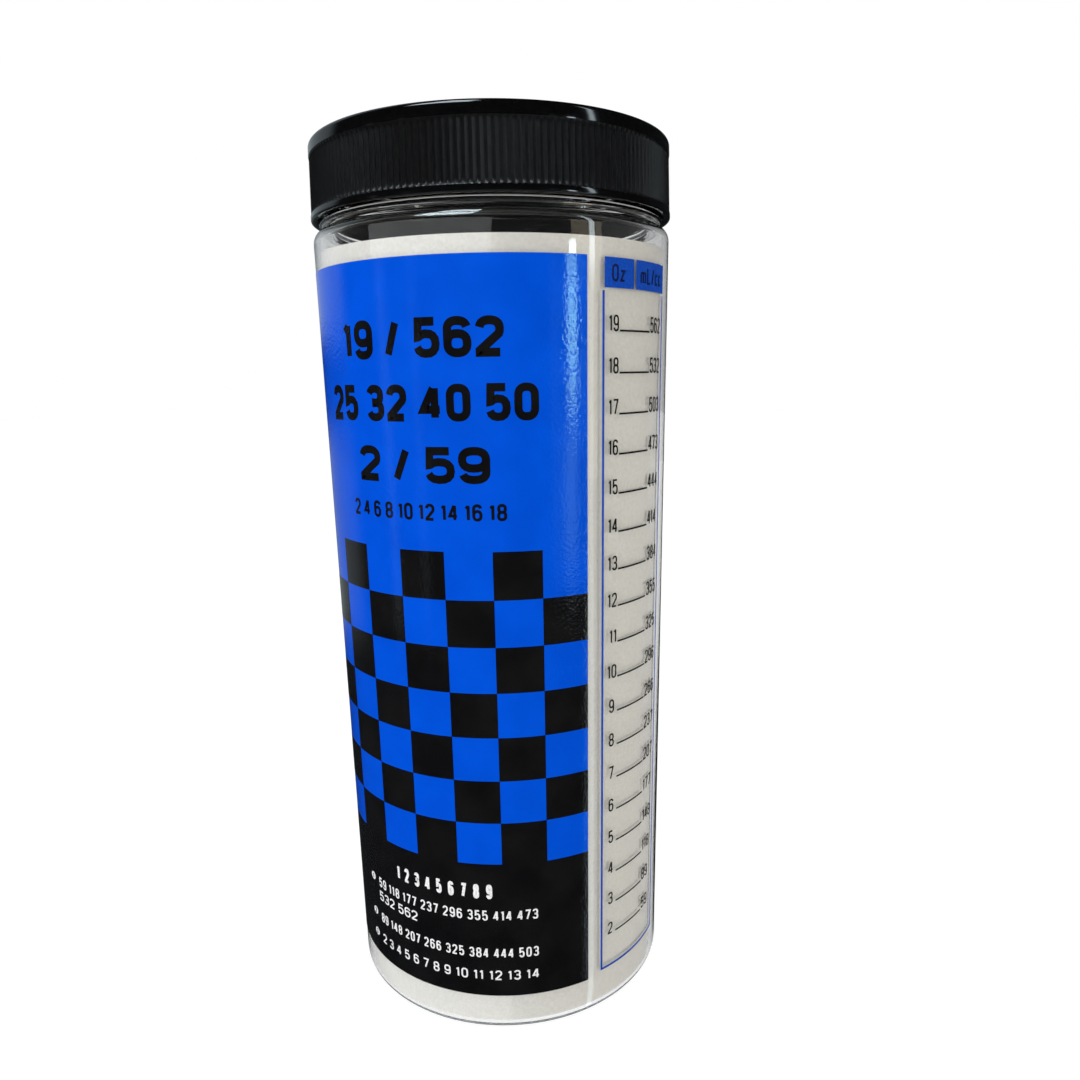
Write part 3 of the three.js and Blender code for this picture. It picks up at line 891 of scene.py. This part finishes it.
def make_scale():
    left, right = span("scale_frame")
    low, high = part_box("scale_frame")
    low, high = low.z / MM, high.z / MM
    line = wall_angle(SCALE_LINE)
    lines = [
        (left, left + line, low, high),
        (left, right, low, low + SCALE_LINE),
        (right - line, right, low, high),
    ]
    layer("scale_lines", lines, FILM_RADIUS, INK_THICKNESS, INK_BLUE, "scale_frame")
    for node in ("scale_head_oz", "scale_head_ml"):
        layer(node + "_field", outer_field(node), FILM_RADIUS, INK_THICKNESS, INK_BLUE, node)
    for mark in range(FIRST_MARK, LAST_MARK + 1):
        node = f"tick_{mark:02d}"
        line_name = f"mark_line_{mark:02d}"
        layer(line_name, outer_field(node), FILM_RADIUS, INK_THICKNESS, INK_BLACK, node)


make_sheet()
make_label()
make_scale()


def make_title():
    """Plain numbers where the label carries its title."""
    title = Print(LABEL_FACE, INK_THICKNESS)
    for text, width, base, height, weight in TITLE_ROWS:
        title.row(text, -width / 2, width, base, height, weight, TITLE_SPACING)
    title.make("label_numbers", LABEL_BLACK)


def make_steps():
    """Plain white numbers on the black field, with a disc before each group."""
    steps = Print(LABEL_FACE + WHITE_INK_GAP, INK_THICKNESS)
    for text, left, width, base, height, weight in STEP_ROWS:
        steps.row(text, left, width, base, height, weight)
    for height in STEP_DISCS:
        steps.disc(STEP_DISC_PLACE, height, STEP_DISC_RADIUS)
    steps.make("label_steps", INK_WHITE)
    counts = Print(LABEL_FACE + WHITE_INK_GAP + INK_THICKNESS, INK_THICKNESS)
    for count, height in enumerate(STEP_DISCS, 1):
        width = STEP_COUNT_WIDTH * STEP_COUNT_HEIGHT * SIGN_WIDTHS.get(str(count), 1.0)
        start, base = STEP_DISC_PLACE - width / 2, height - STEP_COUNT_HEIGHT / 2
        counts.row(str(count), start, width, base, STEP_COUNT_HEIGHT, STEP_COUNT_WEIGHT)
    counts.make("label_step_counts", LABEL_BLACK)


def number_width(text, sign_width):
    signs = sum(SIGN_WIDTHS.get(sign, 1.0) for sign in text)
    return sign_width * signs + SCALE_SIGN_GAP * (len(text) - 1)


def make_scale_numbers():
    """Ounces before each line of the scale and millilitres behind it."""
    numbers = Print(FILM_RADIUS, INK_THICKNESS)
    style = (SCALE_SIGN_HEIGHT, SCALE_SIGN_WEIGHT, SCALE_SIGN_GAP / SCALE_SIGN_HEIGHT)
    for mark in range(FIRST_MARK, LAST_MARK + 1):
        node = f"tick_{mark:02d}"
        left, right = (angle * BOTTLE_RADIUS for angle in span(node))
        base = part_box(node)[0].z / MM
        ounces = str(mark)
        width = number_width(ounces, OUNCE_SIGN_WIDTH)
        start = left - OUNCE_GAP - width
        if len(ounces) == 1:
            start -= SINGLE_SIGN_INSET
        numbers.row(ounces, start, width, base, *style)
        millilitres = str(round(mark * MILLILITRES_PER_OUNCE))
        width = number_width(millilitres, MILLILITRE_SIGN_WIDTH)
        numbers.row(millilitres, right + MILLILITRE_GAP, width, base, *style)
    numbers.make("scale_numbers", INK_BLACK)


def make_scale_units():
    """The names of the units in the fields at the top of the scale."""
    units = Print(FILM_RADIUS + INK_THICKNESS, INK_THICKNESS)
    for node, text, inset, width in UNIT_SIGNS:
        left = span(node)[0] * BOTTLE_RADIUS
        low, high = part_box(node)
        base = (low.z + high.z) / 2 / MM - UNIT_SIGN_HEIGHT / 2
        units.row(text, left + inset, width, base, UNIT_SIGN_HEIGHT, UNIT_SIGN_WEIGHT, UNIT_SPACING)
    units.make("scale_units", INK_NAVY)


make_title()
make_steps()
make_scale_numbers()
make_scale_units()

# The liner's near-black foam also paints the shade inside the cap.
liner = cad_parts["cap_liner"]
liner.data.materials.clear()
liner.data.materials.append(FOAM)


# Camera, light and room


def set_camera():
    turn = Matrix.Rotation(math.radians(CAMERA_AZIMUTH), 3, "Z")
    yaw, pitch, roll = (math.radians(a) for a in (CAMERA_YAW, CAMERA_PITCH, CAMERA_ROLL))
    right = Vector((math.cos(yaw), -math.sin(yaw), 0))
    level = Vector((math.sin(yaw), math.cos(yaw), 0))
    forward = math.cos(pitch) * level - math.sin(pitch) * Vector((0, 0, 1))
    up = math.sin(pitch) * level + math.cos(pitch) * Vector((0, 0, 1))
    image_right = math.cos(roll) * right - math.sin(roll) * up
    image_up = math.sin(roll) * right + math.cos(roll) * up
    axes = Matrix((turn @ image_right, turn @ image_up, -(turn @ forward))).transposed()
    data = bpy.data.cameras.new("camera")
    data.sensor_width = SENSOR_MM
    data.lens = CAMERA_FOCAL_PIXELS * SENSOR_MM / FRAME_PIXELS
    data.shift_x = (FRAME_PIXELS / 2 - CAMERA_CENTRE[0]) / FRAME_PIXELS
    data.shift_y = (CAMERA_CENTRE[1] - FRAME_PIXELS / 2) / FRAME_PIXELS
    data.clip_start = CAMERA_NEAR_LIMIT
    camera = bpy.data.objects.new("camera", data)
    place = turn @ Vector((0, -CAMERA_DISTANCE * MM, CAMERA_HEIGHT * MM))
    camera.matrix_world = Matrix.Translation(place) @ axes.to_4x4()
    bpy.context.scene.collection.objects.link(camera)
    bpy.context.scene.camera = camera


def add_lamp(name, place, size, energy, colour, in_plastic):
    """A lamp that lights matt colours only; what gloss reflects is in the room's lights."""
    data = bpy.data.lights.new(name, "AREA")
    data.color = colour
    data.shape = "RECTANGLE"
    data.size, data.size_y = size
    data.energy = energy
    lamp = bpy.data.objects.new(name, data)
    lamp.location = place
    lamp.visible_glossy = False
    lamp.visible_transmission = in_plastic
    lamp.rotation_euler = (Vector(LAMP_TARGET) - Vector(place)).to_track_quat("-Z", "Y").to_euler()
    bpy.context.scene.collection.objects.link(lamp)


def math_node(nodes, links, operation, first, second=0.0):
    node = nodes.new("ShaderNodeMath")
    node.operation = operation
    for socket, value in zip(node.inputs, (first, second)):
        if isinstance(value, (int, float)):
            socket.default_value = value
        else:
            links.new(value, socket)
    return node.outputs["Value"]


def window(nodes, links, value, low, high, soft):
    """1 between low and high, with soft ends."""
    parts = []
    for edge, sign in ((low, 1), (high, -1)):
        rise = nodes.new("ShaderNodeMapRange")
        rise.interpolation_type = "SMOOTHSTEP"
        rise.inputs["From Min"].default_value = edge - sign * soft
        rise.inputs["From Max"].default_value = edge + sign * soft
        links.new(value, rise.inputs["Value"])
        parts.append(rise.outputs["Result"])
    return math_node(nodes, links, "MULTIPLY", *parts)


def view_direction(nodes, links):
    """The x, y and z of the direction in which the world is looked at."""
    direction = nodes.new("ShaderNodeTexCoord")
    axes = nodes.new("ShaderNodeSeparateXYZ")
    links.new(direction.outputs["Generated"], axes.inputs["Vector"])
    return [axes.outputs[k] for k in "XYZ"]


def room_brightness(nodes, links):
    """What gloss reflects: a dark room with a pale wall and table, tall windows and ceiling panels."""
    x, y, z = view_direction(nodes, links)
    ahead = math_node(nodes, links, "MULTIPLY", y, -1.0)
    around = math_node(nodes, links, "ARCTAN2", x, ahead)
    around = math_node(nodes, links, "MULTIPLY", around, 180 / math.pi)
    up = math_node(nodes, links, "ARCSINE", z)
    up = math_node(nodes, links, "MULTIPLY", up, 180 / math.pi)
    total = None
    for place, half, soft, low, high, soft_up, strength in ROOM_LIGHTS:
        across = window(nodes, links, around, place - half, place + half, soft)
        height = window(nodes, links, up, low, high, soft_up)
        light = math_node(nodes, links, "MULTIPLY", across, height)
        light = math_node(nodes, links, "MULTIPLY", light, strength)
        total = light if total is None else math_node(nodes, links, "ADD", total, light)
    return math_node(nodes, links, "ADD", total, ROOM_DARK)


def fade(nodes, links, value, across, levels):
    """A level that goes from the first to the second as a value goes across a range."""
    node = nodes.new("ShaderNodeMapRange")
    node.inputs["From Min"].default_value, node.inputs["From Max"].default_value = across
    node.inputs["To Min"].default_value, node.inputs["To Max"].default_value = levels
    links.new(value, node.inputs["Value"])
    return node.outputs["Result"]


def seen_brightness(nodes, links):
    """White as it is seen; through clear plastic it is darker overhead and towards the front."""
    path = nodes.new("ShaderNodeLightPath")
    y, z = view_direction(nodes, links)[1:]
    height = fade(nodes, links, z, THROUGH_PLASTIC_HEIGHTS, THROUGH_PLASTIC_LEVELS)
    side = fade(nodes, links, y, THROUGH_PLASTIC_DEPTHS, THROUGH_PLASTIC_SHARES)
    level = math_node(nodes, links, "MULTIPLY", height, side)
    return math_node(nodes, links, "MAXIMUM", level, path.outputs["Is Camera Ray"])


def background_rays(nodes, links):
    """1 for rays that show the background, itself or through clear plastic; 1 for rays of gloss."""
    path = nodes.new("ShaderNodeLightPath")
    direct, through = path.outputs["Is Camera Ray"], path.outputs["Is Transmission Ray"]
    return math_node(nodes, links, "MAXIMUM", direct, through), path.outputs["Is Glossy Ray"]


def set_world():
    """Even light on matt colours, the room in gloss, and a white background."""
    world = bpy.data.worlds.new("world")
    bpy.context.scene.world = world
    world.use_nodes = True
    nodes, links = world.node_tree.nodes, world.node_tree.links
    shown, glossy = background_rays(nodes, links)
    lit = nodes["Background"]
    lit.inputs["Color"].default_value = WHITE
    lit.inputs["Strength"].default_value = WORLD_LIGHT
    room = nodes.new("ShaderNodeBackground")
    room.inputs["Color"].default_value = ROOM_TINT
    links.new(room_brightness(nodes, links), room.inputs["Strength"])
    white = nodes.new("ShaderNodeBackground")
    white.inputs["Color"].default_value = WHITE
    links.new(seen_brightness(nodes, links), white.inputs["Strength"])
    unseen = mix_shaders(nodes, links, glossy, lit.outputs["Background"], room.outputs["Background"])
    whole = mix_shaders(nodes, links, shown, unseen, white.outputs["Background"])
    links.new(whole, nodes["World Output"].inputs["Surface"])


def floor_material():
    """Pale where it gives light, white with a little shadow where it is seen, and absent in gloss."""
    material, nodes, links, shader = new_material("pale_floor")
    shader.inputs["Base Color"].default_value = FLOOR_COLOUR
    shader.inputs["Roughness"].default_value = FLOOR_ROUGHNESS
    shader.inputs["Specular IOR Level"].default_value = FLOOR_SHINE
    shown, glossy = background_rays(nodes, links)
    glow = nodes.new("ShaderNodeEmission")
    glow.inputs["Strength"].default_value = FLOOR_GLOW
    absent = nodes.new("ShaderNodeBsdfTransparent")
    seen = mix_shaders(nodes, links, FLOOR_SHADOW, glow.outputs["Emission"], shader.outputs["BSDF"])
    unseen = mix_shaders(nodes, links, glossy, shader.outputs["BSDF"], absent.outputs["BSDF"])
    whole = mix_shaders(nodes, links, shown, unseen, seen)
    links.new(whole, nodes["Material Output"].inputs["Surface"])
    return material


def add_floor():
    """A pale floor that runs into the white background and keeps the object's shadow."""
    mesh = bpy.data.meshes.new("floor")
    corners = [(-1, -1), (1, -1), (1, 1), (-1, 1)]
    mesh.from_pydata([(FLOOR_REACH * x, FLOOR_REACH * y, 0) for x, y in corners], [], [(0, 1, 2, 3)])
    mesh.materials.append(floor_material())
    floor = bpy.data.objects.new("floor", mesh)
    bpy.context.scene.collection.objects.link(floor)


set_camera()
set_world()
add_floor()
for lamp_row in LAMPS:
    add_lamp(*lamp_row)
bpy.context.scene.view_settings.view_transform = "Standard"
